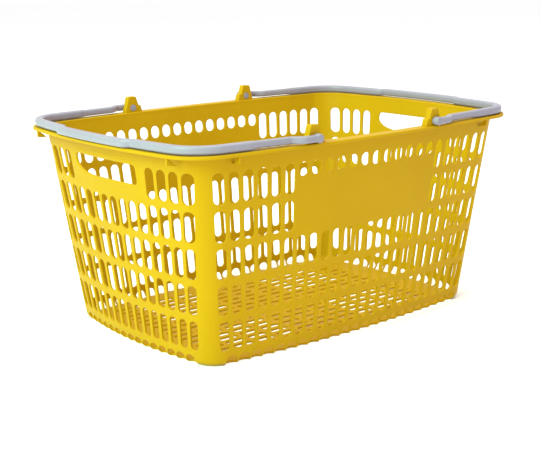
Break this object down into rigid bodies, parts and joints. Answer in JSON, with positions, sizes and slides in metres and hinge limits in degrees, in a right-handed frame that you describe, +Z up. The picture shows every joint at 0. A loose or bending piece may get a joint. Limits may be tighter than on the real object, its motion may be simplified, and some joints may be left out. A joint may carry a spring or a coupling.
{
  "type": "shopping basket",
  "caption": "Hand-held plastic shopping basket with slotted tapered walls, hand holes in the short sides and two swinging bail handles.",
  "frame": {"origin": "centre of the underside, on the surface that the basket stands on", "axes": "+Z up; X along the long side; Y across, towards the rear long wall"},
  "size_m": [0.474, 0.3308, 0.2295],
  "materials": {
    "basket_plastic": "moulded polypropylene, softly glossy",
    "handle_plastic": "moulded plastic, softly glossy"
  },
  "bodies": {
    "basket": {"floor_grid": "basket_plastic", "long_wall_front": "basket_plastic", "long_wall_rear": "basket_plastic", "short_wall_left": "basket_plastic", "short_wall_right": "basket_plastic", "corner_post_front_left": "basket_plastic", "corner_post_front_right": "basket_plastic", "corner_post_rear_left": "basket_plastic", "corner_post_rear_right": "basket_plastic", "rim_corner_front_left": "basket_plastic", "rim_corner_front_right": "basket_plastic", "rim_corner_rear_left": "basket_plastic", "rim_corner_rear_right": "basket_plastic", "handle_lug_front_left": "basket_plastic", "handle_lug_front_right": "basket_plastic", "handle_lug_rear_left": "basket_plastic", "handle_lug_rear_right": "basket_plastic", "rim_rail_front": "basket_plastic", "rim_rail_rear": "basket_plastic", "rim_rail_left": "basket_plastic", "rim_rail_right": "basket_plastic"},
    "handle_left": {"handle_left": "handle_plastic"},
    "handle_right": {"handle_right": "handle_plastic"}
  },
  "joints": [
    {"name": "handle_left_hinge", "type": "hinge", "parent": "basket", "child": "handle_left", "pos_m": [-0.0825, 0, 0.217], "axis": [0, 1, 0], "range_deg": [0, 120]},
    {"name": "handle_right_hinge", "type": "hinge", "parent": "basket", "child": "handle_right", "pos_m": [0.0825, 0, 0.217], "axis": [0, -1, 0], "range_deg": [0, 120]}
  ]
}
